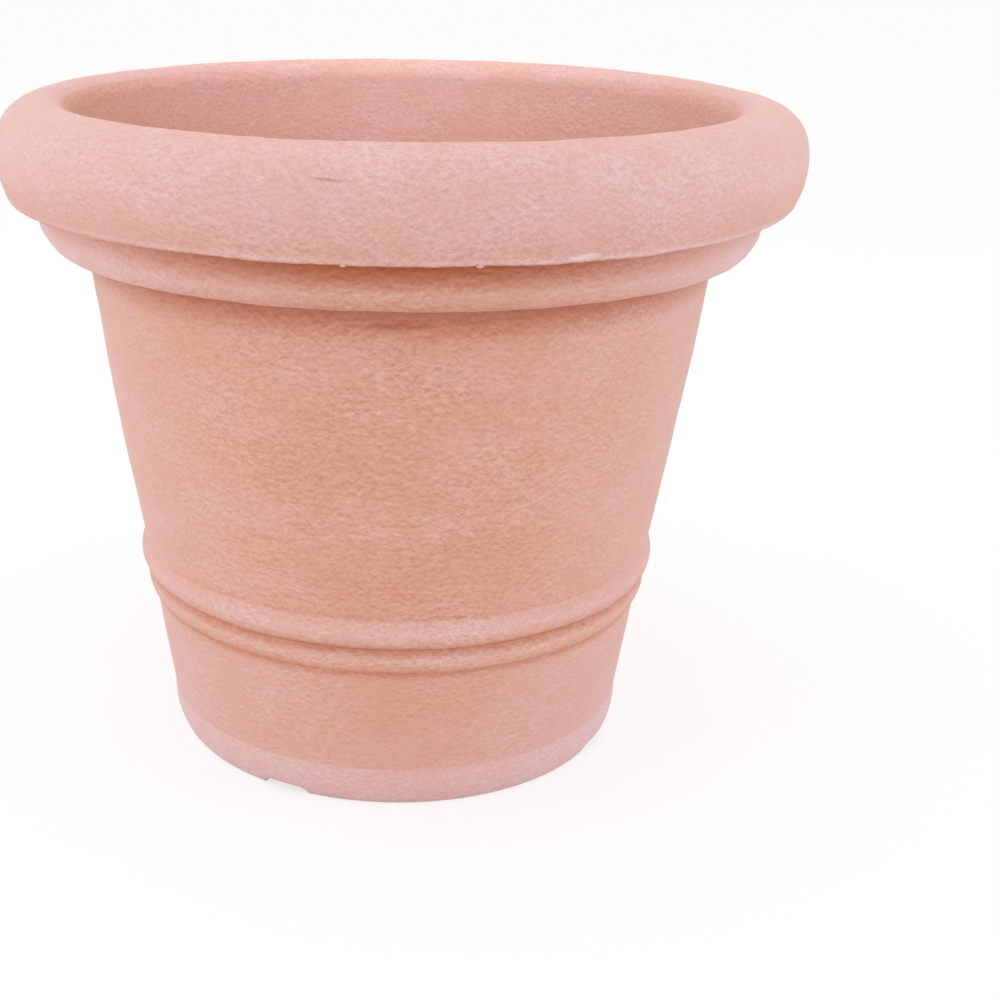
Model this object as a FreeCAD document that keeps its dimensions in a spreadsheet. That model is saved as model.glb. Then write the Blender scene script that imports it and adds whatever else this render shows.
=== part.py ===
import FreeCAD, Part
import Sketcher
import math
import os
import re

# Round floor planter: a moulded terracotta-look pot with a hollow rolled rim, a collar, two raised bands
# and a channelled foot. Five plugs close its drain holes, and a slotted grid stands on four pillars inside.
# Millimetres, Z up, origin on the floor at the middle of the foot.

SIZES = {
    # pot, from the ground up
    "pot_height": 500,
    "wall": 6,
    "base_diameter": 356,
    "foot_diameter": 351,
    "foot_band": 30,
    "foot_round": 46.5,
    "foot_ring_width": 34,
    "foot_ring_draft": 6,
    "floor_level": 26,
    "channel_width": 38,
    "channel_height": 6,
    "channel_draft": 4,
    "band_level": 117.5,
    "lower_rib_height": 18,
    "lower_rib_proud": 3.6,
    "rib_gap": 2,
    "upper_rib_height": 21,
    "upper_rib_proud": 5.4,
    "wall_swell": 1.4,
    "collar_overhang": 23.5,
    "collar_tuck": 9,
    "collar_height": 35,
    "collar_bulge": 4.8,
    "rim_diameter": 596,
    "rim_overhang": 21.5,
    "rim_tuck": 7,
    "rim_height": 69,
    "rim_belly": 39,
    "rim_shoulder": 27.5,
    "shoulder_set": 1,
    "shoulder_width": 19,
    "shoulder_bulge": 4.2,
    "crown_width": 15.5,
    "crown_drop": 3.5,
    "crown_bulge": 0.55,
    "rim_lip": 18.5,
    "skirt_gap": 11,
    # drain holes, plugs and seals
    "drain_hole": 24,
    "drain_circle": 170,
    "plug_clearance": 0.4,
    "plug_wall": 2.5,
    "plug_reach": 6,
    "plug_lead": 1.5,
    "flange_overlap": 9,
    "flange_thickness": 3,
    "flange_edge": 1.5,
    "grip_width": 26,
    "grip_height": 12,
    "grip_thickness": 6,
    "grip_corner": 5,
    "seal_thickness": 2,
    "seal_width": 7,
    "seal_bulge": 0.6,
    # grid and its pillars
    "pillar_height": 66,
    "pillar_diameter": 32,
    "pillar_wall": 3,
    "pillar_circle": 190,
    "pillar_foot_overlap": 6,
    "pillar_foot_thickness": 3,
    "spigot_depth": 10,
    "spigot_clearance": 0.3,
    "grid_gap": 5,
    "grid_thickness": 4,
    "grid_edge": 4,
    "grid_edge_round": 1.5,
    "grid_rib": 4,
    "grid_rib_depth": 8,
    "grid_hub": 40,
    "lift_width": 64,
    "lift_height": 20,
    "lift_thickness": 10,
    "lift_corner": 7,
    "slot_width": 5,
    "slot_bulge": 1.6,
    "slot_land": 8,
}

# The part's sides, each with the angle of its drain hole and foot channel round the axis.
SIDES = {"front": 270, "right": 0, "back": 90, "left": 180}
PILLAR_ANGLES = (45, 135, 225, 315)
GRID_SECTORS = 8
# Slots of one sector of the grid, ring by ring from the middle, clear of the ribs and the pillars.
SLOT_ANGLES = ((11.25, 33.75), (15, 22.5, 30), (5.625, 16.875, 28.125, 39.375))

doc = FreeCAD.newDocument("flower_pot")
sheet = doc.addObject("Spreadsheet::Sheet", "Sizes")
for row, (alias, number) in enumerate(SIZES.items(), start=1):
    sheet.set(f"A{row}", alias)
    sheet.set(f"B{row}", str(number))
    sheet.setAlias(f"B{row}", alias)
doc.recompute()

ALIASES = re.compile(r"\b(" + "|".join(SIZES) + r")\b")


def bound(text):
    """Turn a formula in size names into an expression on the sheet's cells."""
    return ALIASES.sub(r"Sizes.\1", text)


def value(text):
    return float(sheet.evalExpression(bound(text)))


def arc_radius(start, stop, bulge):
    """Radius of the arc that stands a bulge proud of the straight line between two points."""
    across = f"(({stop[0]}) - ({start[0]}))"
    up = f"(({stop[1]}) - ({start[1]}))"
    return f"(({across}^2 + {up}^2) / 4 + {bulge}^2) / (2 * {bulge})"


def new_body(label):
    body = doc.addObject("PartDesign::Body", label)
    body.Label = label
    return body


def place(body, across, along, level):
    for axis, formula in zip("xyz", (across, along, level)):
        body.setExpression(f"Placement.Base.{axis}", bound(formula))


def origin_feature(body, role):
    return next(f for f in body.Origin.OriginFeatures if f.Role == role)


def new_sketch(body, name, plane):
    sketch = body.newObject("Sketcher::SketchObject", name)
    sketch.AttachmentSupport = (origin_feature(body, plane), [""])
    sketch.MapMode = "FlatFace"
    return sketch


def bind(sketch, name, constraint, formula):
    sketch.renameConstraint(sketch.addConstraint(constraint), name)
    sketch.setExpression(f"Constraints.{name}", bound(formula))


def bind_point(sketch, name, element, end, across, up):
    """Hold one point of a sketch at its two formulas, measured from the sketch's origin."""
    for kind, axis, formula in (("DistanceX", -2, across), ("DistanceY", -1, up)):
        if formula == "0":
            sketch.addConstraint(Sketcher.Constraint("PointOnObject", element, end, axis))
        else:
            constraint = Sketcher.Constraint(kind, -1, 1, element, end, value(formula))
            bind(sketch, f"{name}_{kind}", constraint, formula)


def draw_outline(sketch, outline):
    """Draw a closed outline. Each entry is the point that an edge leads to, from the entry before it:
    (across, up) for a straight edge, (across, up, radius, side) for an arc centred on that side of it."""
    points = [FreeCAD.Vector(value(entry[0]), value(entry[1]), 0) for entry in outline]
    first = sketch.GeometryCount
    ends = []
    for number, entry in enumerate(outline):
        start, stop = points[number - 1], points[number]
        if len(entry) == 2:
            sketch.addGeometry(Part.LineSegment(start, stop))
            ends.append((1, 2))
            continue
        radius, side = value(entry[2]), entry[3]
        run = stop - start
        across_run = FreeCAD.Vector(-run.y, run.x, 0).normalize() * (1 if side == "left" else -1)
        centre = (start + stop) * 0.5 + across_run * math.sqrt(radius ** 2 - run.Length ** 2 / 4)
        low, high = (start, stop) if side == "left" else (stop, start)
        angles = [math.atan2(p.y - centre.y, p.x - centre.x) for p in (low, high)]
        circle = Part.Circle(centre, FreeCAD.Vector(0, 0, 1), radius)
        sketch.addGeometry(Part.ArcOfCircle(circle, *angles))
        ends.append((1, 2) if side == "left" else (2, 1))
    for number in range(len(outline)):
        before = number - 1 if number else len(outline) - 1
        joint = (first + before, ends[before][1], first + number, ends[number][0])
        sketch.addConstraint(Sketcher.Constraint("Coincident", *joint))
    for number, entry in enumerate(outline):
        edge = first + number
        bind_point(sketch, f"edge_{edge}", edge, ends[number][1], entry[0], entry[1])
        if len(entry) > 2:
            constraint = Sketcher.Constraint("Radius", edge, value(entry[2]))
            bind(sketch, f"edge_{edge}_radius", constraint, entry[2])


def draw_circle(sketch, across, up, radius):
    centre = FreeCAD.Vector(value(across), value(up), 0)
    circle = sketch.addGeometry(Part.Circle(centre, FreeCAD.Vector(0, 0, 1), value(radius)))
    bind_point(sketch, f"circle_{circle}", circle, 3, across, up)
    constraint = Sketcher.Constraint("Radius", circle, value(radius))
    bind(sketch, f"circle_{circle}_radius", constraint, radius)


def turn(body, outline):
    """Turn an outline of radius and level about the body's Z axis."""
    sketch = new_sketch(body, "Section", "XZ_Plane")
    draw_outline(sketch, outline)
    feature = body.newObject("PartDesign::Revolution", "Turned")
    feature.Profile = sketch
    feature.ReferenceAxis = (sketch, ["V_Axis"])
    feature.Angle = 360
    doc.recompute()


def pad(body, sketch, name, length, reverse=False, midplane=False):
    feature = body.newObject("PartDesign::Pad", name)
    feature.Profile = sketch
    feature.setExpression("Length", bound(length))
    feature.Reversed = reverse
    feature.Midplane = midplane
    doc.recompute()
    return feature


def cut(body, sketch, name, length=None, reverse=False):
    """Cut a sketch's shape away, right through unless a length is given."""
    before = body.Shape.Volume
    feature = body.newObject("PartDesign::Pocket", name)
    feature.Profile = sketch
    if length:
        feature.setExpression("Length", bound(length))
    else:
        feature.Type = "ThroughAll"
    feature.Reversed = reverse
    doc.recompute()
    if body.Shape.Volume >= before:
        raise RuntimeError(f"{body.Label}: {name} cuts nothing")
    return feature


def repeat_round(body, feature, name, count):
    pattern = body.newObject("PartDesign::PolarPattern", name)
    pattern.Originals = [feature]
    pattern.Axis = (origin_feature(body, "Z_Axis"), [""])
    pattern.Angle = 360
    pattern.Occurrences = count
    body.Tip = pattern
    doc.recompute()


# Radii and levels of the pot that other pieces also use
rim_r = "(rim_diameter / 2)"
rim_edge_r = f"({rim_r} - rim_tuck)"
collar_r = f"({rim_edge_r} - rim_overhang)"
collar_edge_r = f"({collar_r} - collar_tuck)"
wall_top_r = f"({collar_edge_r} - collar_overhang)"
shoulder_r = f"({rim_r} - shoulder_set)"
crown_edge_r = f"({shoulder_r} - shoulder_width)"
crown_r = f"({crown_edge_r} - crown_width)"
mouth_r = f"({crown_r} - rim_lip)"
rim_edge_z = "(pot_height - rim_height)"
collar_edge_z = f"({rim_edge_z} - collar_height)"
taper = f"(({wall_top_r} - base_diameter / 2) / {collar_edge_z})"
wall_run = f"sqrt(1 + {taper}^2)"


def wall_r(level):
    """Outer radius of the tapered wall at a level."""
    return f"(base_diameter / 2 + {taper} * ({level}))"


def well_r(level):
    """Inner radius of the tapered wall at a level."""
    return f"({wall_r(level)} - wall * {wall_run})"


def rib(foot_level, height, proud):
    """Outline of a rib on the wall: a bead from its foot to its top."""
    top_level = f"({foot_level} + {height})"
    foot = (wall_r(foot_level), foot_level)
    top = (wall_r(top_level), top_level)
    return [foot, top + (arc_radius(foot, top, proud), "left")]


def make_pot_shell():
    """One moulded skin: foot ring, raised floor, tapered wall with two ribs, collar and hollow rolled rim."""
    foot_r = "(foot_diameter / 2)"
    foot_inner_r = f"({foot_r} - foot_ring_width)"
    recess_r = f"({foot_inner_r} - foot_ring_draft)"
    upper_rib_level = "(band_level + lower_rib_height + rib_gap)"
    belly_z = "(pot_height - rim_belly)"
    shoulder_z = "(pot_height - rim_shoulder)"
    crown_edge_z = "(pot_height - crown_drop)"
    lip_z = "(pot_height - rim_lip)"
    face_height = "(rim_height - rim_belly)"
    face_round = f"((rim_tuck^2 + {face_height}^2) / (2 * rim_tuck))"
    turn_height = "(rim_belly - rim_shoulder)"
    turn_round = f"((shoulder_set^2 + {turn_height}^2) / (2 * shoulder_set))"
    face_in_r = (f"{rim_r} - {face_round}"
                 f" + sqrt(({face_round} - wall)^2 - ({face_height} - wall)^2)")
    shelf_z = f"({collar_edge_z} + wall)"
    skirt_z = f"({shelf_z} + skirt_gap)"
    skirt_r = f"({mouth_r} - {taper} * ({lip_z} - {skirt_z}))"
    gutter_z = "(channel_height + wall)"

    # Points of the section, as radius and level
    upper_rib = rib(upper_rib_level, "upper_rib_height", "upper_rib_proud")
    wall_top = (wall_top_r, collar_edge_z)
    collar_foot = (collar_edge_r, collar_edge_z)
    collar_top = (collar_r, rim_edge_z)
    collar_round = arc_radius(collar_foot, collar_top, "collar_bulge")
    shoulder = (shoulder_r, shoulder_z)
    crown_edge = (crown_edge_r, crown_edge_z)
    crown = (crown_r, "pot_height")
    belly_in = (f"{rim_r} - wall", belly_z)
    crown_edge_in = (crown_edge_r, f"{crown_edge_z} - wall")

    body = new_body("pot_shell")
    turn(body, [
        # underside and foot
        ("0", "floor_level - wall"),
        (recess_r, "floor_level - wall"),
        (foot_inner_r, "0"),
        (foot_r, "0"),
        # outside of the wall with its ribs
        (wall_r("foot_band"), "foot_band", "foot_round", "left"),
        *rib("band_level", "lower_rib_height", "lower_rib_proud"),
        *upper_rib,
        wall_top + (arc_radius(upper_rib[-1], wall_top, "wall_swell"), "left"),
        # collar and rim, outside
        collar_foot,
        collar_top + (collar_round, "left"),
        (rim_edge_r, rim_edge_z),
        (rim_r, belly_z, face_round, "left"),
        shoulder + (turn_round, "left"),
        crown_edge + (arc_radius(shoulder, crown_edge, "shoulder_bulge"), "left"),
        crown + (arc_radius(crown_edge, crown, "crown_bulge"), "left"),
        (mouth_r, lip_z, "rim_lip", "left"),
        # skirt that turns down inside the mouth, with its trimmed edge
        (skirt_r, skirt_z),
        (f"{skirt_r} + wall * {wall_run}", skirt_z),
        (f"{mouth_r} + wall", lip_z),
        # hollow of the rim and collar
        (crown_r, "pot_height - wall", "rim_lip - wall", "right"),
        crown_edge_in,
        belly_in + (arc_radius(crown_edge_in, belly_in, "shoulder_bulge"), "right"),
        (face_in_r, f"{rim_edge_z} + wall", f"{face_round} - wall", "right"),
        (f"{collar_r} - wall", f"{rim_edge_z} + wall"),
        (f"{collar_r} - wall", rim_edge_z),
        (f"{collar_edge_r} - wall / 2", shelf_z, f"{collar_round} - wall", "right"),
        # inside of the wall, gutter and raised floor
        (well_r(shelf_z), shelf_z),
        (well_r("foot_band + wall"), "foot_band + wall"),
        (f"{foot_r} - wall", gutter_z),
        (f"{foot_inner_r} + wall", gutter_z),
        (f"{recess_r} + wall", "floor_level"),
        ("0", "floor_level"),
    ])

    channel = new_sketch(body, "ChannelSection", "XZ_Plane")
    roof = "(channel_width / 2 - channel_draft)"
    draw_outline(channel, [
        ("-channel_width / 2", "0"),
        ("channel_width / 2", "0"),
        (roof, "channel_height"),
        (f"-{roof}", "channel_height"),
    ])
    channel_cut = cut(body, channel, "Channel", reverse=True)
    repeat_round(body, channel_cut, "Channels", len(SIDES))

    middle = new_sketch(body, "MiddleDrain", "XY_Plane")
    draw_circle(middle, "0", "0", "drain_hole / 2")
    cut(body, middle, "MiddleHole", reverse=True)

    drain = new_sketch(body, "SideDrain", "XY_Plane")
    draw_circle(drain, "drain_circle / 2", "0", "drain_hole / 2")
    drain_cut = cut(body, drain, "SideHole", reverse=True)
    repeat_round(body, drain_cut, "SideHoles", len(SIDES))
    return body


shank_r = "(drain_hole / 2 - plug_clearance)"


def make_drain_plug(label, across, along):
    """Push-in bung: a hollow shank through the floor, a flange over the seal and a bar to pull it by."""
    flange_r = "(drain_hole / 2 + flange_overlap)"
    flange_top = "(seal_thickness + flange_thickness)"
    shank_end = "(wall + plug_reach)"
    grip_top = f"({flange_top} + grip_height)"

    body = new_body(label)
    turn(body, [
        ("0", "seal_thickness"),
        (f"{shank_r} - plug_wall", "seal_thickness"),
        (f"{shank_r} - plug_wall", f"-{shank_end}"),
        (f"{shank_r} - plug_lead", f"-{shank_end}"),
        (shank_r, f"-{shank_end} + plug_lead"),
        (shank_r, "seal_thickness"),
        (flange_r, "seal_thickness"),
        (flange_r, f"{flange_top} - flange_edge"),
        (f"{flange_r} - flange_edge", flange_top, "flange_edge", "left"),
        ("0", flange_top),
    ])
    grip = new_sketch(body, "GripOutline", "XZ_Plane")
    draw_outline(grip, [
        ("-grip_width / 2", flange_top),
        ("grip_width / 2", flange_top),
        ("grip_width / 2", f"{grip_top} - grip_corner"),
        ("grip_width / 2 - grip_corner", grip_top, "grip_corner", "left"),
        ("-grip_width / 2 + grip_corner", grip_top),
        ("-grip_width / 2", f"{grip_top} - grip_corner", "grip_corner", "left"),
    ])
    pad(body, grip, "Grip", "grip_thickness", midplane=True)
    place(body, across, along, "floor_level")
    return body


def make_plug_seal(label, across, along):
    """Flat rubber washer round the plug's shank, between the floor and the flange."""
    inner = "(drain_hole / 2 + seal_bulge)"
    outer = f"({inner} + seal_width)"
    edge = arc_radius((outer, "0"), (outer, "seal_thickness"), "seal_bulge")
    body = new_body(label)
    turn(body, [
        (inner, "0", edge, "left"),
        (outer, "0"),
        (outer, "seal_thickness", edge, "left"),
        (inner, "seal_thickness"),
    ])
    place(body, across, along, "floor_level")
    return body


pillar_r = "(pillar_diameter / 2)"


def make_grid_pillar(label, angle):
    """Tube with a foot flange: it stands on the floor, and its top is pressed over the grid's spigot."""
    foot_r = f"({pillar_r} + pillar_foot_overlap)"
    body = new_body(label)
    turn(body, [
        (f"{pillar_r} - pillar_wall", "0"),
        (foot_r, "0"),
        (foot_r, "pillar_foot_thickness"),
        (pillar_r, "pillar_foot_thickness"),
        (pillar_r, "pillar_height"),
        (f"{pillar_r} - pillar_wall", "pillar_height"),
    ])
    place(body, f"pillar_circle / 2 * cos({angle})", f"pillar_circle / 2 * sin({angle})", "floor_level")
    return body


def make_drainage_grid():
    """Slotted false floor with a turned-down edge, ribs, a spigot for each pillar and a lifting bar."""
    grid_z = "(floor_level + pillar_height)"
    grid_r = f"({well_r(f'{grid_z} - grid_rib_depth')} - grid_gap)"
    hub_r = "(grid_hub / 2)"
    edge_in = f"({grid_r} - grid_edge)"

    body = new_body("drainage_grid")
    turn(body, [
        ("0", "-grid_rib_depth"),
        (hub_r, "-grid_rib_depth"),
        (hub_r, "0"),
        (edge_in, "0"),
        (edge_in, "-grid_rib_depth"),
        (grid_r, "-grid_rib_depth"),
        (grid_r, "grid_thickness - grid_edge_round"),
        (f"{grid_r} - grid_edge_round", "grid_thickness", "grid_edge_round", "left"),
        ("0", "grid_thickness"),
    ])

    rib = new_sketch(body, "RibOutline", "XY_Plane")
    rib_start = f"{hub_r} - grid_rib"
    rib_end = f"{grid_r} - grid_edge / 2"
    draw_outline(rib, [
        (rib_start, "-grid_rib / 2"),
        (rib_end, "-grid_rib / 2"),
        (rib_end, "grid_rib / 2"),
        (rib_start, "grid_rib / 2"),
    ])
    rib_pad = pad(body, rib, "Rib", "grid_rib_depth", reverse=True)
    repeat_round(body, rib_pad, "Ribs", GRID_SECTORS)

    # Ribs stop short of each pillar, whose top stands round a spigot.
    pillar_x = f"pillar_circle / 2 * cos({PILLAR_ANGLES[0]})"
    pillar_y = f"pillar_circle / 2 * sin({PILLAR_ANGLES[0]})"
    seat = new_sketch(body, "SeatOutline", "XY_Plane")
    draw_circle(seat, pillar_x, pillar_y, f"{pillar_r} + spigot_clearance")
    seat_cut = cut(body, seat, "Seat", "grid_rib_depth")
    repeat_round(body, seat_cut, "Seats", len(PILLAR_ANGLES))
    spigot = new_sketch(body, "SpigotOutline", "XY_Plane")
    draw_circle(spigot, pillar_x, pillar_y, f"{pillar_r} - pillar_wall - spigot_clearance")
    spigot_pad = pad(body, spigot, "Spigot", "spigot_depth", reverse=True)
    repeat_round(body, spigot_pad, "Spigots", len(PILLAR_ANGLES))

    lift = new_sketch(body, "LiftBarOutline", "XZ_Plane")
    lift_top = "(grid_thickness + lift_height)"
    draw_outline(lift, [
        ("-lift_width / 2", "grid_thickness"),
        ("lift_width / 2", "grid_thickness"),
        ("lift_width / 2", f"{lift_top} - lift_corner"),
        ("lift_width / 2 - lift_corner", lift_top, "lift_corner", "left"),
        ("-lift_width / 2 + lift_corner", lift_top),
        ("-lift_width / 2", f"{lift_top} - lift_corner", "lift_corner", "left"),
    ])
    pad(body, lift, "LiftBar", "lift_thickness", midplane=True)

    rings = len(SLOT_ANGLES)
    slot_start = "(lift_width / 2 + slot_land)"
    slot_length = f"(({edge_in} - slot_land - {slot_start} - {rings - 1} * slot_land) / {rings})"
    slot_end_radius = arc_radius(("0", "0"), ("0", "slot_width"), "slot_bulge")
    slots = new_sketch(body, "SlotOutlines", "XY_Plane")
    for ring, angles in enumerate(SLOT_ANGLES):
        near = f"({slot_start} + {ring} * ({slot_length} + slot_land) + slot_bulge)"
        far = f"({near} + {slot_length} - 2 * slot_bulge)"
        for angle in angles:
            corners = [(f"{reach} * cos({angle}) - {half} * slot_width / 2 * sin({angle})",
                        f"{reach} * sin({angle}) + {half} * slot_width / 2 * cos({angle})")
                       for reach, half in ((near, -1), (far, -1), (far, 1), (near, 1))]
            draw_outline(slots, [
                corners[0] + (slot_end_radius, "left"),
                corners[1],
                corners[2] + (slot_end_radius, "left"),
                corners[3],
            ])
    slot_cut = cut(body, slots, "Slots", reverse=True)
    repeat_round(body, slot_cut, "SlotRings", GRID_SECTORS)
    place(body, "0", "0", grid_z)
    return body


nodes = [make_pot_shell(), make_drainage_grid()]
for number, angle in enumerate(PILLAR_ANGLES, start=1):
    nodes.append(make_grid_pillar(f"grid_pillar_{number}", angle))
drains = {"centre": ("0", "0")}
for side, angle in SIDES.items():
    drains[side] = (f"drain_circle / 2 * cos({angle})", f"drain_circle / 2 * sin({angle})")
for side, (across, along) in drains.items():
    nodes.append(make_drain_plug(f"drain_plug_{side}", across, along))
    nodes.append(make_plug_seal(f"plug_seal_{side}", across, along))
doc.recompute()

for thing in doc.Objects:
    if "Invalid" in thing.State or "Error" in thing.State:
        raise RuntimeError(f"{thing.Label}: {thing.State}")
for node in nodes:
    if node.Shape.isNull() or not node.Shape.isValid() or len(node.Shape.Solids) != 1:
        raise RuntimeError(f"{node.Label}: its shape is not one valid solid")

os.makedirs("parts", exist_ok=True)
for node in nodes:
    node.Shape.exportStep(f"parts/{node.Label}.step")
    box = node.Shape.optimalBoundingBox(False, False)
    print(f"{node.Label}: {node.Shape.Volume / 1000:.1f} cm3, z {box.ZMin:.2f} to {box.ZMax:.2f}")
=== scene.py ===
import math
from collections import namedtuple

import bpy
from mathutils import Matrix, Vector


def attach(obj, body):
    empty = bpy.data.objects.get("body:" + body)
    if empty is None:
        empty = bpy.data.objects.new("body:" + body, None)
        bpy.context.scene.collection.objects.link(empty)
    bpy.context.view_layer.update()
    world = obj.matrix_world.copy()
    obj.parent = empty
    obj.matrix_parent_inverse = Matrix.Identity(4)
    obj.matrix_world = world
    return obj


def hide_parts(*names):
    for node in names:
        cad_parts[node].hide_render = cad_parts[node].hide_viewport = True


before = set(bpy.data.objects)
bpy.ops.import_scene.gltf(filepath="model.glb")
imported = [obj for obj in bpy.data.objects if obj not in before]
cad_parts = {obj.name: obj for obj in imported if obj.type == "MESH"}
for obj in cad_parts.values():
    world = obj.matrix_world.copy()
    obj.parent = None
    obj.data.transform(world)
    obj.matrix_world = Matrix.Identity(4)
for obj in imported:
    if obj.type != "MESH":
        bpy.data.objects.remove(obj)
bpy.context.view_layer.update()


# Pot
# One skin of polyethylene, about 6 mm thick, melted on to the inside of a mould that turns in an oven.
# Foot, wall, bands, collar and hollow rim are one piece, with a trimmed lip turned down in the mouth.

MM = 0.001
MERGE_GAP = MM / 100
TURN_STEPS = 340
FILLET_SHARES = (0.33, 0.67, 1)
POT_SMOOTH_ANGLE = math.radians(50)

# Half section of the skin, drawn round from the underside at the middle drain hole, in millimetres.
# Each row: radius, level, radius of the arc that leads there (negative for a hollow one), fillet, spacing
# of the points that lead there, pale wash on the skin, painted shade there (darker in creases and under the
# rim and collar), and how far it may wander.
Corner = namedtuple("Corner", "radius level arc fillet spacing wash dirt play")
WashShadePlay = namedtuple("WashShadePlay", "wash dirt play")
pot_section = [Corner(*row) for row in (
    (12, 20, 0, 0, 7, 0.1, 0.3, 0),
    (135.5, 20, 0, 2, 20, 0.1, 0.4, 0),
    (141.5, 0, 0, 2, 6, 0.3, 0.2, 0),
    (175.5, 0, 0, 2, 7, 0.7, 0, 0),
    (182.5, 30, 46.5, 1.2, 3.4, 0.57, 0, 0.5),
    (182.9, 32.6, 0, 0, 2, 0.32, 0, 0.7),
    (183.8, 39, 0, 0, 3.5, 0.26, 0, 1),
    (194.5, 110.5, 0, 0, 6, 0.18, 0, 1),
    (195.5, 117.5, 0, 1.2, 3.5, 0, 0.5, 1),
    (199.3, 122.3, 13.3, 0, 1.8, 0.15, 0, 1),
    (200.5, 129, 13.3, 0, 2.2, 0.43, 0, 1),
    (198.2, 135.5, 13.3, 1, 2.2, 0.15, 0.45, 1),
    (198.5, 137.5, 0, 0.7, 2, 0, 0.9, 1),
    (203.8, 142.6, 13.1, 0, 1.8, 0.2, 0, 1),
    (205.4, 150.9, 13.1, 0, 2.4, 0.62, 0, 1),
    (201.6, 158.5, 13.1, 1.5, 2.4, 0.4, 0, 1),
    (202.1, 161.4, 0, 0, 2, 0.1, 0.1, 1),
    (203.1, 167, 0, 0, 4.5, 0.1, 0, 1),
    (221.7, 284, 5149, 0, 6.2, 0.1, 0, 1),
    (233.3, 368, 5149, 0, 6.2, 0.1, 0, 1),
    (235.6, 385, 5149, 0, 4, 0, 0.7, 1),
    (237, 396, 0, 3, 3, 0, 0.85, 1),
    (260.5, 396, 0, 2.5, 5, 0.3, 0.3, 1),
    (268.3, 408, 36.4, 0, 4, 0.5, 0.05, 1),
    (270.7, 418.2, 36.4, 0, 4, 0.2, 0.52, 1),
    (270.6, 425, 36.4, 0, 3, 0.15, 0.8, 1),
    (269.5, 431, 36.4, 2, 3, 0.1, 1, 1),
    (290.4, 431, 0, 0.6, 5, 0.5, 0.3, 1),
    (291.4, 432.6, 0, 0.5, 1, 0.8, 0, 1),
    (292.6, 436, 0, 0, 1.5, 0.35, 0.1, 1),
    (298, 461, 67.8, 0, 4.6, 0.5, 0, 1),
    (297, 472.5, 66.6, 0, 4, 0.55, 0, 1),
    (278, 496.5, 30, 0, 4, 0.6, 0, 1),
    (262.5, 500, 57.7, 0, 4, 0.5, 0, 1),
    (244, 481.5, 18.5, 0, 3, 0.5, 0, 1),
    (233.8, 413, 0, 1.2, 7.5, 0.3, 0, 1),
    (239.9, 413, 0, 1.2, 3, 0.1, 0.4, 1),
    (250, 481.5, 0, 0, 20, 0, 0.4, 1),
    (262.5, 494, -12.5, 0, 8, 0, 0.4, 1),
    (278, 490.5, 0, 0, 10, 0, 0.4, 1),
    (292, 461, -33.8, 0, 10, 0, 0.4, 1),
    (287.1, 437, -61.8, 0, 13, 0, 0.4, 1),
    (263.5, 437, 0, 0, 10, 0, 0.4, 1),
    (263.5, 431, 0, 0, 6, 0, 0.4, 1),
    (257.5, 402, -30.4, 0, 10, 0, 0.4, 1),
    (231.8, 402, 0, 3, 8, 0.1, 0.3, 1),
    (177.3, 36, 0, 4, 13, 0.2, 0.1, 0.5),
    (169.5, 12, 0, 3, 6, 0.1, 0.4, 0),
    (147.5, 12, 0, 3, 8, 0.1, 0.4, 0),
    (141.5, 26, 0, 3, 5, 0.2, 0.1, 0),
    (12, 26, 0, 0, 20, 0.2, 0.1, 0),
)]


def run_point(start, stop, arc, share):
    """Point a share of the way along a run: a line, or an arc centred on its left (right if negative)."""
    if not arc:
        return start.lerp(stop, share)
    run = stop - start
    across = Vector((-run.y, run.x)).normalized() * math.copysign(1, arc)
    centre = (start + stop) / 2 + across * math.sqrt(arc ** 2 - run.length_squared / 4)
    first, last = (math.atan2(p.y - centre.y, p.x - centre.x) for p in (start, stop))
    swing = (last - first + math.pi) % (2 * math.pi) - math.pi
    turn = first + swing * share
    return centre + abs(arc) * Vector((math.cos(turn), math.sin(turn)))


def section_points(section):
    """Points of a section with its corners rounded, each with the wash, painted shade and play of its
    place.
    """
    points = []
    for number, corner in enumerate(section):
        before, after = section[number - 1], section[(number + 1) % len(section)]
        start, stop, beyond = (Vector((c.radius, c.level)) for c in (before, corner, after))
        old_wash_shade_play, new_wash_shade_play = (WashShadePlay(c.wash, c.dirt, c.play) for c in (before, corner))
        length = (stop - start).length
        trim_start, trim_stop = before.fillet / length, 1 - corner.fillet / length
        steps = max(1, round((trim_stop - trim_start) * length / corner.spacing))
        for step in range(1, steps + 1):
            share = trim_start + (trim_stop - trim_start) * step / steps
            wash_shade_play = WashShadePlay(*(old + (new - old) * share for old, new in zip(old_wash_shade_play, new_wash_shade_play)))
            points.append((run_point(start, stop, corner.arc, share), wash_shade_play))
        if corner.fillet:
            leave = points[-1][0]
            enter = run_point(stop, beyond, after.arc, corner.fillet / (beyond - stop).length)
            for share in FILLET_SHARES:
                bent = leave.lerp(stop, share).lerp(stop.lerp(enter, share), share)
                points.append((bent, new_wash_shade_play))
    return points


def draw_piece(name, points):
    """Draw a closed line of points in the XZ plane, by drawing out one vertex from place to place."""
    bpy.ops.object.select_all(action="DESELECT")
    bpy.ops.mesh.primitive_plane_add(size=MM)
    piece = bpy.context.object
    piece.name = piece.data.name = name
    bpy.ops.object.mode_set(mode="EDIT")
    bpy.ops.mesh.merge(type="CENTER")
    here = Vector((0, 0))
    for number, point in enumerate(points + points[:1]):
        step = (point - here) * MM
        if number:
            bpy.ops.mesh.extrude_region_move(TRANSFORM_OT_translate={"value": (step.x, 0, step.y)})
        else:
            bpy.ops.transform.translate(value=(step.x, 0, step.y))
        here = point
    bpy.ops.mesh.select_all(action="SELECT")
    bpy.ops.mesh.remove_doubles(threshold=MERGE_GAP)
    bpy.ops.object.mode_set(mode="OBJECT")
    return piece


def apply_modifier(piece, kind, **settings):
    """Add a modifier to the active piece, set it and apply it."""
    modifier = piece.modifiers.new(kind.lower(), kind)
    for name, value in settings.items():
        setattr(modifier, name, value)
    bpy.ops.object.modifier_apply(modifier=modifier.name)


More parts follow.
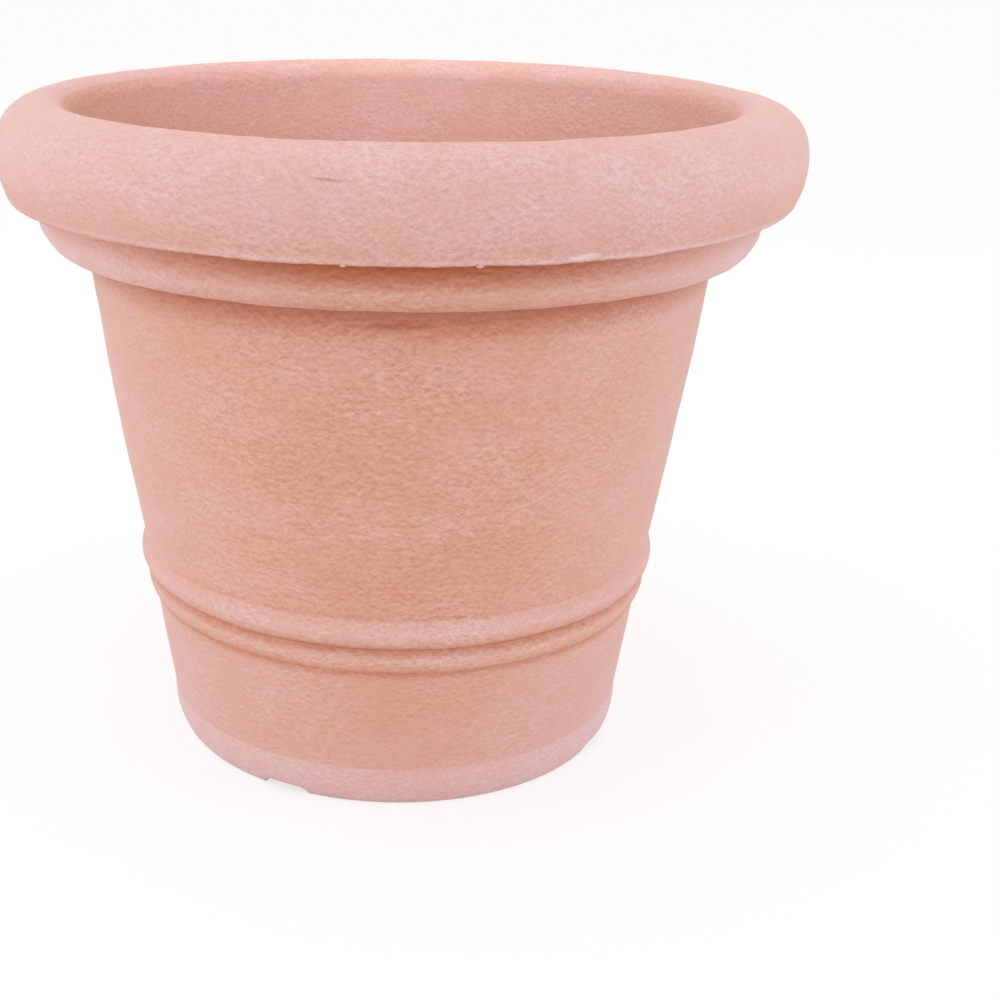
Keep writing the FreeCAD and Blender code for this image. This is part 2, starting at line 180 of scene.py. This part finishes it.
def select_vertices(piece, wanted):
    """Go to edit mode with those vertices selected whose place a test wants."""
    bpy.ops.object.mode_set(mode="EDIT")
    bpy.ops.mesh.select_mode(type="VERT")
    bpy.ops.mesh.select_all(action="DESELECT")
    bpy.ops.object.mode_set(mode="OBJECT")
    piece.data.vertices.foreach_set("select", [wanted(vertex.co) for vertex in piece.data.vertices])
    bpy.ops.object.mode_set(mode="EDIT")


def round_pot(degrees, reach, level):
    """Vector from the foot's middle to an angle round the pot, a reach from its axis and a level."""
    return Matrix.Rotation(math.radians(degrees), 3, "Z") @ Vector((reach, 0, level))


drawn = section_points(pot_section)
pot = draw_piece("pot", [point for point, wash_shade_play in drawn])
# Each point's wash and its painted shade go on to the skin as attributes.
for name in ("wash", "dirt"):
    layer = pot.data.attributes.new(name, "FLOAT", "POINT")
    layer.data.foreach_set("value", [getattr(wash_shade_play, name) for point, wash_shade_play in drawn])
RIM_EDGE, FLASH_REACH = Vector((291, 431.8)), 1.6
play, flash = (pot.vertex_groups.new(name=name) for name in ("play", "flash"))
for index, (point, wash_shade_play) in enumerate(drawn):
    play.add([index], wash_shade_play.play, "REPLACE")
    flash.add([index], float((point - RIM_EDGE).length < FLASH_REACH), "REPLACE")
apply_modifier(pot, "SCREW", angle=2 * math.pi, steps=TURN_STEPS, render_steps=TURN_STEPS,
               use_merge_vertices=True, merge_threshold=MERGE_GAP, use_smooth_shade=True)

# Four shallow channels let water out from under the foot. Its underside is lifted in three drafted steps,
# each with a half width and a roof.
QUARTERS = (0, 90, 180, 270)
CHANNEL_STEPS = ((19, 1.5), (17.5, 4), (15.5, 6))
FOOT_INSIDE = 120
for turn in QUARTERS:
    along = round_pot(turn, 1, 0)
    across = Vector((-along.y, along.x, 0))
    for half_width, roof in CHANNEL_STEPS:
        select_vertices(pot, lambda p: (p.z < roof * MM and abs(p.dot(across)) < half_width * MM
                                        and p.dot(along) > FOOT_INSIDE * MM))
        bpy.ops.transform.resize(value=(1, 1, 0), center_override=(0, 0, roof * MM))
        bpy.ops.object.mode_set(mode="OBJECT")

# Four drain holes are bored through the floor round the middle one.
DRAIN_RADIUS, DRAIN_REACH, DRAIN_SIDES = 12, 85, 48
FLOOR_MIDDLE, BORER_LENGTH = 23, 20
for turn in QUARTERS:
    bpy.ops.object.select_all(action="DESELECT")
    bpy.ops.mesh.primitive_cylinder_add(vertices=DRAIN_SIDES, radius=DRAIN_RADIUS * MM,
                                        depth=BORER_LENGTH * MM,
                                        location=round_pot(turn, DRAIN_REACH, FLOOR_MIDDLE) * MM)
    borer = bpy.context.object
    bpy.context.view_layer.objects.active = pot
    apply_modifier(pot, "BOOLEAN", object=borer, operation="DIFFERENCE", solver="EXACT")
    bpy.data.objects.remove(borer)

# The skin is never true: it has slow swells, smaller dents, and an edge of flash under the rim that runs up
# and down. Each row: name, size and height of the waves, the way they go, and the vertices that they move.
uneven_skin = (
    ("swell", 90, 1.6, "NORMAL", "play"),
    ("dent", 22, 0.7, "NORMAL", "play"),
    ("flash", 6, 0.9, "Z", "flash"),
)
bpy.ops.object.select_all(action="DESELECT")
pot.select_set(True)
bpy.context.view_layer.objects.active = pot
for name, size, height, way, group in uneven_skin:
    clouds = bpy.data.textures.new(name, "CLOUDS")
    clouds.noise_scale = size * MM
    clouds.noise_depth = 1
    apply_modifier(pot, "DISPLACE", texture=clouds, texture_coords="LOCAL", strength=height * MM,
                   mid_level=0.5, direction=way, vertex_group=group)

# The wash is rubbed on by hand, and over the bands, wall, collar and rim the grain is smoother on the pot's
# right and left. The rest is painted light and shade turned to the camera: the right and left, as it sees
# them, mostly get more wash and less painted shade than the front and back, and the mouth and the rim's
# edge are paler on the right.
# Each row: wash added all round, its swing towards both of those sides and towards the right alone, share
# of painted shade kept all round and its swing, and smoothness all round and its swing.
LIT_SIDE_TURN = math.radians(27.6)
FOOT_WALL_TOP, BANDS_TOP, WALL_TOP, COLLAR_TOP, EDGE_TOP = 115, 161, 385, 432, 434
MOUTH_RADIUS, EDGE_RADIUS = 250, 288
side_light_zones = {
    "foot wall": (0.2, 0.2, 0, 0.8, -0.2, 0.6, 0),
    "bands": (0, 0, 0, 0.8, -0.2, 0.5, 0.5),
    "wall": (0.2, 0.2, 0, 0.8, -0.2, 0.5, 0.5),
    "mouth": (-0.1, -0.15, 0.1, 1, 0, 0.5, 0),
    "edge": (-0.26, 0, 0.26, 1, 0, 0.6, 0.35),
    "collar": (0.2, 0.4, 0, 0.1, -1.1, 0.6, 0.35),
    "rim": (0.05, 0.05, 0, 1, 0, 0.6, 0.35),
}


def side_light_zone(radius, level):
    """Name of the part of the skin at a radius and a level, both in millimetres."""
    if level < FOOT_WALL_TOP:
        return "foot wall"
    if level < BANDS_TOP:
        return "bands"
    if level < WALL_TOP:
        return "wall"
    if radius < MOUTH_RADIUS:
        return "mouth"
    if radius > EDGE_RADIUS and level < EDGE_TOP:
        return "edge"
    return "collar" if level < COLLAR_TOP else "rim"


pot.data.attributes.new("rub", "FLOAT", "POINT")
layers = [pot.data.attributes[name].data for name in ("wash", "dirt", "rub")]
# Painted light and shade: wash and painted shade swing with the turn from the camera's right and left.
for vertex, wash_here, shade_here, rub_here in zip(pot.data.vertices, *layers):
    x, y, z = vertex.co
    turn = math.atan2(y, x) - LIT_SIDE_TURN
    both, right = math.cos(2 * turn), math.cos(turn)
    zone = side_light_zone(math.hypot(x, y) / MM, z / MM)
    wash_all, light_both, light_right, shade_all, shade_both, rub_all, rub_both = side_light_zones[zone]
    wash_here.value += wash_all + light_both * both + light_right * right
    shade_here.value *= shade_all + shade_both * both
    rub_here.value = rub_all + rub_both * both

# Bits of flash that the trimming knife left hang under the rim's edge. Each row: turn round the pot, and
# width as a multiple of the radius.
NUB_RADIUS, NUB_REACH, NUB_LEVEL = 1.3, 290.8, 431.3
NUB_SLIMNESS, NUB_CRUMPLE, NUB_WASH = 0.8, 0.3, 0.6
nubs = ((290.9, 1.3), (307, 1.7), (75, 1.4), (131, 1.1), (163, 1.6))
for turn, width in nubs:
    bpy.ops.object.select_all(action="DESELECT")
    bpy.ops.mesh.primitive_ico_sphere_add(subdivisions=3, radius=NUB_RADIUS * MM,
                                          location=round_pot(turn, NUB_REACH, NUB_LEVEL) * MM)
    nub = bpy.context.object
    nub.rotation_euler.z = math.radians(turn)
    nub.scale = (NUB_SLIMNESS, width, NUB_SLIMNESS)
    bpy.ops.object.mode_set(mode="EDIT")
    bpy.ops.transform.vertex_random(offset=NUB_CRUMPLE * MM, seed=round(turn))
    bpy.ops.object.mode_set(mode="OBJECT")
    layer = nub.data.attributes.new("wash", "FLOAT", "POINT")
    layer.data.foreach_set("value", [NUB_WASH] * len(nub.data.vertices))
    pot.select_set(True)
    bpy.context.view_layer.objects.active = pot
    bpy.ops.object.join()
bpy.ops.object.mode_set(mode="EDIT")
bpy.ops.mesh.select_all(action="SELECT")
bpy.ops.mesh.remove_doubles(threshold=MERGE_GAP)
bpy.ops.mesh.normals_make_consistent(inside=False)
bpy.ops.object.mode_set(mode="OBJECT")
bpy.ops.object.shade_smooth_by_angle(angle=POT_SMOOTH_ANGLE)


def linear(code):
    """Linear colour, with alpha, of an sRGB hex value."""
    channels = [int(code[place:place + 2], 16) / 255 for place in (1, 3, 5)]
    return [c / 12.92 if c <= 0.04045 else ((c + 0.055) / 1.055) ** 2.4 for c in channels] + [1]


def new_material(name):
    """New material with a plain shader."""
    material = bpy.data.materials.new(name)
    material.use_nodes = True
    return material


def set_inputs(material, node, inputs):
    """Give a node its inputs, each a value for that socket or a pair of node and output to link it to."""
    for socket, value in inputs.items():
        if isinstance(value, tuple) and isinstance(value[0], bpy.types.Node):
            material.node_tree.links.new(value[0].outputs[value[1]], node.inputs[socket])
        else:
            node.inputs[socket].default_value = value


def add_node(material, kind, inputs, **settings):
    """Add a shader node with its settings and inputs."""
    node = material.node_tree.nodes.new(kind)
    for name, value in settings.items():
        setattr(node, name, value)
    set_inputs(material, node, inputs)
    return node


# Sockets of a node that mixes two colours or two values: the share of the second, the two, and the result.
SHARE = 0
COLOUR_A, COLOUR_B, COLOUR_OUT = 6, 7, 2
VALUE_A, VALUE_B, VALUE_OUT = 2, 3, 0

# Rotationally moulded polyethylene, coloured through as terracotta and rubbed with a chalky wash. The
# powder leaves a sandy grain, drawn with painted light on top of each grain and painted shade under it, and
# faint level scuffs, and painted shade darkens each crease towards a deep brown-orange.
GRAIN_RELIEF = 1.1
terracotta = new_material("rotomoulded_polyethylene_terracotta")
coords = add_node(terracotta, "ShaderNodeTexCoord", {})
wash = add_node(terracotta, "ShaderNodeAttribute", {}, attribute_name="wash")
dirt = add_node(terracotta, "ShaderNodeAttribute", {}, attribute_name="dirt")
rub = add_node(terracotta, "ShaderNodeAttribute", {}, attribute_name="rub")
fineness = add_node(terracotta, "ShaderNodeMath",
                    {0: (wash, "Fac"), 1: 0.6, 2: 0.55}, operation="MULTIPLY_ADD")

# Patterns of the skin, finer where there is more wash. Each row: sizes along X, Y and Z and how much higher
# up it is read, in millimetres, and its detail. The grain is read twice, and the difference is painted
# light on the upper side of each grain and painted shade under it.
skin_patterns = {
    "blotch": ((95, 95, 55), 0, 3.0),
    "patch": ((60, 60, 35), 0, 1.0),
    "grain": ((4.6, 4.6, 3.5), 0, 2.0),
    "grain_above": ((4.6, 4.6, 3.5), 1.6, 2.0),
    "scuff": ((22, 22, 3), 0, 2.0),
}
noises = {}
for name, (sizes, rise, detail) in skin_patterns.items():
    place = add_node(terracotta, "ShaderNodeMapping",
                     {"Vector": (coords, "Object"), "Scale": [1 / (size * MM) for size in sizes],
                      "Location": (0, 0, rise / sizes[2])})
    noises[name] = add_node(terracotta, "ShaderNodeTexNoise",
                            {"Vector": (place, "Vector"), "Scale": 1.0, "Detail": detail,
                             "Roughness": (fineness, 0)})

# The clay is pinker in blotches and under the wash, the wash is worn in patches, and painted shade darkens
# creases.
blotch_share = add_node(terracotta, "ShaderNodeMapRange",
                        {"Value": (noises["blotch"], "Fac"), "From Min": 0.35, "From Max": 0.65})
wash_wear = add_node(terracotta, "ShaderNodeMapRange",
                     {"Value": (noises["patch"], "Fac"), "From Min": 0.3, "From Max": 0.7,
                      "To Min": 0.85, "To Max": 1.12})
wash_share = add_node(terracotta, "ShaderNodeMath",
                      {0: (wash, "Fac"), 1: (wash_wear, "Result")}, operation="MULTIPLY")
pinkness = add_node(terracotta, "ShaderNodeMath",
                    {0: (blotch_share, "Result"), 1: (wash_share, 0)}, operation="MAXIMUM")
clay = add_node(terracotta, "ShaderNodeMix",
                {SHARE: (pinkness, 0), COLOUR_A: linear("#dd9b7e"), COLOUR_B: linear("#e1a592")},
                data_type="RGBA")
wash_tint = add_node(terracotta, "ShaderNodeMix",
                     {SHARE: (pinkness, 0), COLOUR_A: linear("#e4c4ba"), COLOUR_B: linear("#e7c4c9")},
                     data_type="RGBA")
washed = add_node(terracotta, "ShaderNodeMix",
                  {SHARE: (wash_share, 0), COLOUR_A: (clay, COLOUR_OUT), COLOUR_B: (wash_tint, COLOUR_OUT)},
                  data_type="RGBA")
# Painted shade: creases and the skin under the rim and collar go towards a deep brown-orange.
shade_share = add_node(terracotta, "ShaderNodeMath", {0: (dirt, "Fac"), 1: 0.85}, operation="MULTIPLY")
crease_shaded = add_node(terracotta, "ShaderNodeMix",
                  {SHARE: (shade_share, 0), COLOUR_A: (washed, COLOUR_OUT), COLOUR_B: linear("#b8643a")},
                  data_type="RGBA")

# Marks of use: a dark scratch and a pale scar on the rim, and a red smear under the collar. Each row: turn
# round the pot, radius and level of the middle, slope, half sizes along, into and up the skin, colour, and
# how much it covers. Each mark fades out over the same outer share of its half sizes.
MARK_FADE = 0.6
marks = (
    (289.1, 294.1, 482.1, 3.4, (12, 6, 1.2), "#a97360", 0.5),
    (320, 292.3, 434.6, -4, (13, 8, 2.4), "#f2e2dc", 0.6),
    (297.5, 235, 381, 0, (30, 9, 2.5), "#b5573c", 0.5),
)
marked = crease_shaded
for turn, radius, level, slope, sizes, colour, cover in marks:
    place = add_node(terracotta, "ShaderNodeMapping",
                     {"Vector": (coords, "Object"), "Location": round_pot(turn, radius, level) * MM,
                      "Rotation": (0, math.radians(slope), math.radians(turn + 90)),
                      "Scale": [size * MM for size in sizes]}, vector_type="TEXTURE")
    mark = add_node(terracotta, "ShaderNodeTexGradient",
                    {"Vector": (place, "Vector")}, gradient_type="SPHERICAL")
    mark_share = add_node(terracotta, "ShaderNodeMapRange",
                          {"Value": (mark, "Fac"), "From Max": MARK_FADE, "To Max": cover})
    marked = add_node(terracotta, "ShaderNodeMix",
                      {SHARE: (mark_share, "Result"), COLOUR_A: (marked, COLOUR_OUT),
                       COLOUR_B: linear(colour)}, data_type="RGBA")

# The grain is stronger in patches and weaker where it is rubbed, and scuffs show through a thin wash.
scuff_share = add_node(terracotta, "ShaderNodeMath",
                       {0: (wash_share, 0), 1: -0.4, 2: 0.36}, operation="MULTIPLY_ADD")
relief = add_node(terracotta, "ShaderNodeMix",
                  {SHARE: (scuff_share, 0), VALUE_A: (noises["grain"], "Fac"),
                   VALUE_B: (noises["scuff"], "Fac")}, data_type="FLOAT")
# Painted light and shade on each grain: the grain less the same grain read a little higher.
painted_grain_light = add_node(terracotta, "ShaderNodeMath",
                      {0: (noises["grain"], "Fac"), 1: (noises["grain_above"], "Fac")},
                      operation="SUBTRACT")
grain_and_painted_light = add_node(terracotta, "ShaderNodeMath",
                {0: (painted_grain_light, 0), 1: 0.45, 2: (relief, VALUE_OUT)}, operation="MULTIPLY_ADD")
roughened = add_node(terracotta, "ShaderNodeMapRange",
                     {"Value": (noises["patch"], "Fac"), "From Min": 0.35, "From Max": 0.65,
                      "To Min": 0.6, "To Max": 0.95})
rubbed_smooth = add_node(terracotta, "ShaderNodeMath",
                         {0: (rub, "Fac"), 1: -0.6, 2: 1.0}, operation="MULTIPLY_ADD")
strength = add_node(terracotta, "ShaderNodeMath",
                    {0: (roughened, "Result"), 1: (rubbed_smooth, 0)}, operation="MULTIPLY")
patchy_grain_and_light = add_node(terracotta, "ShaderNodeMix",
                  {SHARE: (strength, 0), VALUE_A: 0.5, VALUE_B: (grain_and_painted_light, 0)}, data_type="FLOAT")
grain_and_light_coloured = add_node(terracotta, "ShaderNodeMix",
                   {SHARE: 1.0, COLOUR_A: (marked, COLOUR_OUT), COLOUR_B: (patchy_grain_and_light, VALUE_OUT)},
                   data_type="RGBA", blend_type="SOFT_LIGHT")
bump = add_node(terracotta, "ShaderNodeBump",
                {"Height": (relief, VALUE_OUT), "Strength": (strength, 0), "Distance": GRAIN_RELIEF * MM})
gloss = add_node(terracotta, "ShaderNodeMapRange",
                 {"Value": (noises["grain"], "Fac"), "From Min": 0.3, "From Max": 0.7,
                  "To Min": 0.66, "To Max": 0.82})
set_inputs(terracotta, terracotta.node_tree.nodes["Principled BSDF"],
           {"Base Color": (grain_and_light_coloured, COLOUR_OUT), "Normal": (bump, "Normal"), "Roughness": (gloss, "Result"),
            "IOR": 1.5, "Sheen Weight": 0.3, "Sheen Tint": linear("#f0d0ca"), "Sheen Roughness": 0.4})
pot.data.materials.append(terracotta)
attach(pot, "pot")
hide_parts("pot_shell")


# Plug seals
# Flat washers moulded in black rubber, which each plug's flange presses on to the floor round its hole.
# They sit round the plugs' shanks and come out with them.

DRAINS = ("centre", "front", "right", "back", "left")
SEAL_EDGE, BLOOM_SIZE, BLOOM_RELIEF = 0.2, 5, 0.3
FLAT_ANGLE, SHARP_ANGLE = math.radians(1), math.radians(40)

# Moulded rubber: nearly matt and not quite black, with a grey bloom in small patches.
seal_rubber = new_material("moulded_rubber_black")
coords = add_node(seal_rubber, "ShaderNodeTexCoord", {})
bloom = add_node(seal_rubber, "ShaderNodeTexNoise",
                 {"Vector": (coords, "Object"), "Scale": 1 / (BLOOM_SIZE * MM), "Detail": 4.0})
tint = add_node(seal_rubber, "ShaderNodeMix",
                {SHARE: (bloom, "Fac"), COLOUR_A: linear("#222221"), COLOUR_B: linear("#3a3937")},
                data_type="RGBA")
bump = add_node(seal_rubber, "ShaderNodeBump",
                {"Height": (bloom, "Fac"), "Strength": 0.2, "Distance": BLOOM_RELIEF * MM})
set_inputs(seal_rubber, seal_rubber.node_tree.nodes["Principled BSDF"],
           {"Base Color": (tint, COLOUR_OUT), "Normal": (bump, "Normal"), "Roughness": 0.75, "IOR": 1.52})


def rounded_copy(node, name, edge, material):
    """Copy of a CAD piece with its triangles merged to faces and its sharp edges rounded."""
    bpy.ops.object.select_all(action="DESELECT")
    piece = bpy.data.objects.new(name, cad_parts[node].data.copy())
    piece.data.name = name
    bpy.context.scene.collection.objects.link(piece)
    piece.select_set(True)
    bpy.context.view_layer.objects.active = piece
    bpy.ops.object.mode_set(mode="EDIT")
    bpy.ops.mesh.select_all(action="SELECT")
    bpy.ops.mesh.remove_doubles(threshold=MERGE_GAP)
    bpy.ops.mesh.dissolve_limited(angle_limit=FLAT_ANGLE)
    bpy.ops.object.mode_set(mode="OBJECT")
    apply_modifier(piece, "BEVEL", width=edge * MM, segments=2, limit_method="ANGLE",
                   angle_limit=SHARP_ANGLE)
    bpy.ops.object.shade_smooth_by_angle(angle=SHARP_ANGLE)
    piece.data.materials.clear()
    piece.data.materials.append(material)
    return piece


for drain in DRAINS:
    washer = rounded_copy("plug_seal_" + drain, "washer_" + drain, SEAL_EDGE, seal_rubber)
    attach(washer, "plug_" + drain)
    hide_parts("plug_seal_" + drain)


# Drain plugs
# Push-in bungs of injection moulded polyethylene, in a clay red to match the pot, each with a bar to
# pull by. The shank is hollow and goes through the floor.

PLUG_EDGE, PLUG_SWIRL, PLUG_GRAIN, PLUG_RELIEF = 0.5, 12, 0.8, 0.3

# Moulded polyethylene: satin, with faint swirls that the melt left in its colour and gloss. The mould's
# matt grain is finer than a fifth of a millimetre, and is drawn coarser so that it shows.
plug_plastic = new_material("moulded_polyethylene_clay_red")
coords = add_node(plug_plastic, "ShaderNodeTexCoord", {})
swirl = add_node(plug_plastic, "ShaderNodeTexNoise",
                 {"Vector": (coords, "Object"), "Scale": 1 / (PLUG_SWIRL * MM), "Detail": 3.0,
                  "Distortion": 0.6})
matt = add_node(plug_plastic, "ShaderNodeTexNoise",
                {"Vector": (coords, "Object"), "Scale": 1 / (PLUG_GRAIN * MM), "Detail": 1.0})
tint = add_node(plug_plastic, "ShaderNodeMix",
                {SHARE: (swirl, "Fac"), COLOUR_A: linear("#a4563d"), COLOUR_B: linear("#b8674b")},
                data_type="RGBA")
gloss = add_node(plug_plastic, "ShaderNodeMapRange",
                 {"Value": (swirl, "Fac"), "From Min": 0.3, "From Max": 0.7,
                  "To Min": 0.42, "To Max": 0.56})
bump = add_node(plug_plastic, "ShaderNodeBump",
                {"Height": (matt, "Fac"), "Strength": 0.15, "Distance": PLUG_RELIEF * MM})
set_inputs(plug_plastic, plug_plastic.node_tree.nodes["Principled BSDF"],
           {"Base Color": (tint, COLOUR_OUT), "Normal": (bump, "Normal"), "Roughness": (gloss, "Result"),
            "IOR": 1.51})

for drain in DRAINS:
    bung = rounded_copy("drain_plug_" + drain, "bung_" + drain, PLUG_EDGE, plug_plastic)
    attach(bung, "plug_" + drain)
    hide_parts("drain_plug_" + drain)


# Grid pillars
# Cut lengths of extruded polypropylene tube with a flange welded on as a foot. They are pressed over the
# grid's spigots and stand on the floor between the drains.

PILLARS = (1, 2, 3, 4)
PILLAR_EDGE, DIE_LINE_RELIEF = 0.4, 0.2
DIE_LINE_SIZES = (1.6, 1.6, 70)

# Extruded polypropylene: satin charcoal, with lines along the tube that the die left in its colour and
# gloss. Real ones are about a tenth of a millimetre wide, and are drawn coarser so that they show.
pillar_plastic = new_material("extruded_polypropylene_charcoal")
coords = add_node(pillar_plastic, "ShaderNodeTexCoord", {})
die_place = add_node(pillar_plastic, "ShaderNodeMapping",
                     {"Vector": (coords, "Object"), "Scale": [1 / (size * MM) for size in DIE_LINE_SIZES]})
die_line = add_node(pillar_plastic, "ShaderNodeTexNoise",
                    {"Vector": (die_place, "Vector"), "Scale": 1.0, "Detail": 2.0})
tint = add_node(pillar_plastic, "ShaderNodeMix",
                {SHARE: (die_line, "Fac"), COLOUR_A: linear("#2e2f2d"), COLOUR_B: linear("#464743")},
                data_type="RGBA")
gloss = add_node(pillar_plastic, "ShaderNodeMapRange",
                 {"Value": (die_line, "Fac"), "From Min": 0.3, "From Max": 0.7,
                  "To Min": 0.38, "To Max": 0.5})
bump = add_node(pillar_plastic, "ShaderNodeBump",
                {"Height": (die_line, "Fac"), "Strength": 0.2, "Distance": DIE_LINE_RELIEF * MM})
set_inputs(pillar_plastic, pillar_plastic.node_tree.nodes["Principled BSDF"],
           {"Base Color": (tint, COLOUR_OUT), "Normal": (bump, "Normal"), "Roughness": (gloss, "Result"),
            "IOR": 1.49})

for number in PILLARS:
    tube = rounded_copy(f"grid_pillar_{number}", f"pillar_tube_{number}", PILLAR_EDGE, pillar_plastic)
    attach(tube, "grid")
    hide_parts(f"grid_pillar_{number}")


# Drainage grid
# A slotted false floor of recycled polypropylene, moulded in one shot with its ribs and lifting bar. It
# keeps the soil off the drains, and stands loose in the pot on its pillars.

GRID_EDGE, GRID_SWIRL, GRID_GRAIN, GRID_RELIEF, DUST_SIZE = 0.4, 45, 1.2, 0.3, 28

# Moulded recycled polypropylene: matt charcoal, uneven in swirls, and duller where dried soil dusts it.
# The mould's matt grain is finer than a fifth of a millimetre, and is drawn coarser so that it shows.
grid_plastic = new_material("moulded_polypropylene_charcoal")
coords = add_node(grid_plastic, "ShaderNodeTexCoord", {})
swirl = add_node(grid_plastic, "ShaderNodeTexNoise",
                 {"Vector": (coords, "Object"), "Scale": 1 / (GRID_SWIRL * MM), "Detail": 4.0,
                  "Distortion": 1.2})
matt = add_node(grid_plastic, "ShaderNodeTexNoise",
                {"Vector": (coords, "Object"), "Scale": 1 / (GRID_GRAIN * MM), "Detail": 1.0})
dust = add_node(grid_plastic, "ShaderNodeTexNoise",
                {"Vector": (coords, "Object"), "Scale": 1 / (DUST_SIZE * MM), "Detail": 6.0})
tint = add_node(grid_plastic, "ShaderNodeMix",
                {SHARE: (swirl, "Fac"), COLOUR_A: linear("#2e2f2d"), COLOUR_B: linear("#454642")},
                data_type="RGBA")
dust_share = add_node(grid_plastic, "ShaderNodeMapRange",
                      {"Value": (dust, "Fac"), "From Min": 0.5, "From Max": 0.75, "To Max": 0.22})
dusted = add_node(grid_plastic, "ShaderNodeMix",
                  {SHARE: (dust_share, "Result"), COLOUR_A: (tint, COLOUR_OUT),
                   COLOUR_B: linear("#857a6f")}, data_type="RGBA")
gloss = add_node(grid_plastic, "ShaderNodeMapRange",
                 {"Value": (dust, "Fac"), "From Min": 0.35, "From Max": 0.7,
                  "To Min": 0.46, "To Max": 0.75})
bump = add_node(grid_plastic, "ShaderNodeBump",
                {"Height": (matt, "Fac"), "Strength": 0.2, "Distance": GRID_RELIEF * MM})
set_inputs(grid_plastic, grid_plastic.node_tree.nodes["Principled BSDF"],
           {"Base Color": (dusted, COLOUR_OUT), "Normal": (bump, "Normal"), "Roughness": (gloss, "Result"),
            "IOR": 1.49})

grid_moulding = rounded_copy("drainage_grid", "grid_moulding", GRID_EDGE, grid_plastic)
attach(grid_moulding, "grid")
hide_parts("drainage_grid")


# Camera
# Placed where a fit of the pot's outline puts it: a little over the rim, and turned so that one foot
# channel shows on the left. The pot stands left of the picture's middle, so the lens is shifted.

CAMERA_TURN = math.radians(27.6)
CAMERA_REACH, CAMERA_HEIGHT = 1.2529, 0.639
CAMERA_PITCH, CAMERA_ROLL = math.radians(20.24), math.radians(0.73)
SENSOR_WIDTH, LENS_LENGTH, LENS_SHIFT = 36, 59.26, 0.1029
FARTHEST_SEEN = 100

facing = (Matrix.Rotation(CAMERA_TURN, 3, "Z") @ Matrix.Rotation(math.pi / 2 - CAMERA_PITCH, 3, "X")
          @ Matrix.Rotation(CAMERA_ROLL, 3, "Z"))
standing = Vector((CAMERA_REACH * math.sin(CAMERA_TURN), -CAMERA_REACH * math.cos(CAMERA_TURN),
                   CAMERA_HEIGHT))
bpy.ops.object.select_all(action="DESELECT")
bpy.ops.object.camera_add(location=standing, rotation=facing.to_euler())
camera = bpy.context.object
camera.data.sensor_width = SENSOR_WIDTH
camera.data.lens = LENS_LENGTH
camera.data.shift_x = LENS_SHIFT
camera.data.clip_end = FARTHEST_SEEN
bpy.context.scene.camera = camera


# Studio
# White paper underfoot and white light all round. Broad soft lamps stand on the left, on the right and
# behind on the left, a weak one stands in front, and a small narrow one lights the inside of the mouth.

MIDDLE_LEVEL, MOUTH_REACH, MOUTH_LEVEL = 0.28, 0.22, 0.385
away = Vector((-math.sin(CAMERA_TURN), math.cos(CAMERA_TURN), 0))
middle = Vector((0, 0, MIDDLE_LEVEL))
mouth = MOUTH_REACH * away + Vector((0, 0, MOUTH_LEVEL))

# Each row: name, the point that it lights, turn round the pot from the camera, angle above the level,
# distance and size in metres, power in watts, and the angle of its beam.
lamps = (
    ("key", middle, -105, 42, 2.4, 1.6, 4.5, 180),
    ("left", middle, -66, 25, 2.4, 1.6, 7.7, 180),
    ("right", middle, 75, 28, 2.4, 1.6, 8.1, 180),
    ("front", middle, 5, 45, 2.4, 1.6, 1.5, 180),
    ("mouth", mouth, 0, 52, 1.6, 0.3, 0.11, 20),
)
for name, aim, turn, lift, reach, size, power, beam in lamps:
    angle, rise = CAMERA_TURN + math.radians(turn), math.radians(lift)
    outward = Vector((math.sin(angle), -math.cos(angle), 0))
    place = aim + reach * (math.cos(rise) * outward + Vector((0, 0, math.sin(rise))))
    pointing = (aim - place).to_track_quat("-Z", "Y")
    bpy.ops.object.select_all(action="DESELECT")
    bpy.ops.object.light_add(type="AREA", location=place, rotation=pointing.to_euler())
    lamp = bpy.context.object
    lamp.name = "light_" + name
    lamp.data.size = size
    lamp.data.energy = power
    lamp.data.spread = math.radians(beam)

# Matt white paper: to the camera and in reflections it glows up to white and keeps a faint shadow of the
# pot, and on the pot it throws plain white light.
FLOOR_SIZE, PAPER_GLOW, ROOM_LIGHT = 40, 0.681, 0.855
paper = new_material("matt_white_paper")
paper.node_tree.nodes.clear()
seen = add_node(paper, "ShaderNodeLightPath", {})
bounce = add_node(paper, "ShaderNodeBsdfDiffuse", {"Color": linear("#f0f0f0")})
shaded = add_node(paper, "ShaderNodeBsdfDiffuse", {"Color": linear("#9e9e9e")})
glow = add_node(paper, "ShaderNodeEmission", {"Color": linear("#ffffff"), "Strength": PAPER_GLOW})
shown = add_node(paper, "ShaderNodeAddShader", {0: (shaded, 0), 1: (glow, 0)})
direct = add_node(paper, "ShaderNodeMath",
                  {0: (seen, "Is Camera Ray"), 1: (seen, "Is Glossy Ray")}, operation="MAXIMUM")
surface = add_node(paper, "ShaderNodeMixShader", {0: (direct, 0), 1: (bounce, 0), 2: (shown, 0)})
add_node(paper, "ShaderNodeOutputMaterial", {"Surface": (surface, 0)})
bpy.ops.object.select_all(action="DESELECT")
bpy.ops.mesh.primitive_plane_add(size=FLOOR_SIZE)
floor = bpy.context.object
floor.name = "floor"
floor.data.materials.append(paper)

room = bpy.data.worlds.new("white_room")
room.use_nodes = True
bpy.context.scene.world = room
room.node_tree.nodes.clear()
seen = add_node(room, "ShaderNodeLightPath", {})
direct = add_node(room, "ShaderNodeMath",
                  {0: (seen, "Is Camera Ray"), 1: (seen, "Is Glossy Ray")}, operation="MAXIMUM")
brightness = add_node(room, "ShaderNodeMapRange",
                      {"Value": (direct, 0), "To Min": ROOM_LIGHT, "To Max": 1.0})
sky = add_node(room, "ShaderNodeBackground",
               {"Color": linear("#ffffff"), "Strength": (brightness, "Result")})
add_node(room, "ShaderNodeOutputWorld", {"Surface": (sky, 0)})
bpy.context.scene.view_settings.view_transform = "Standard"
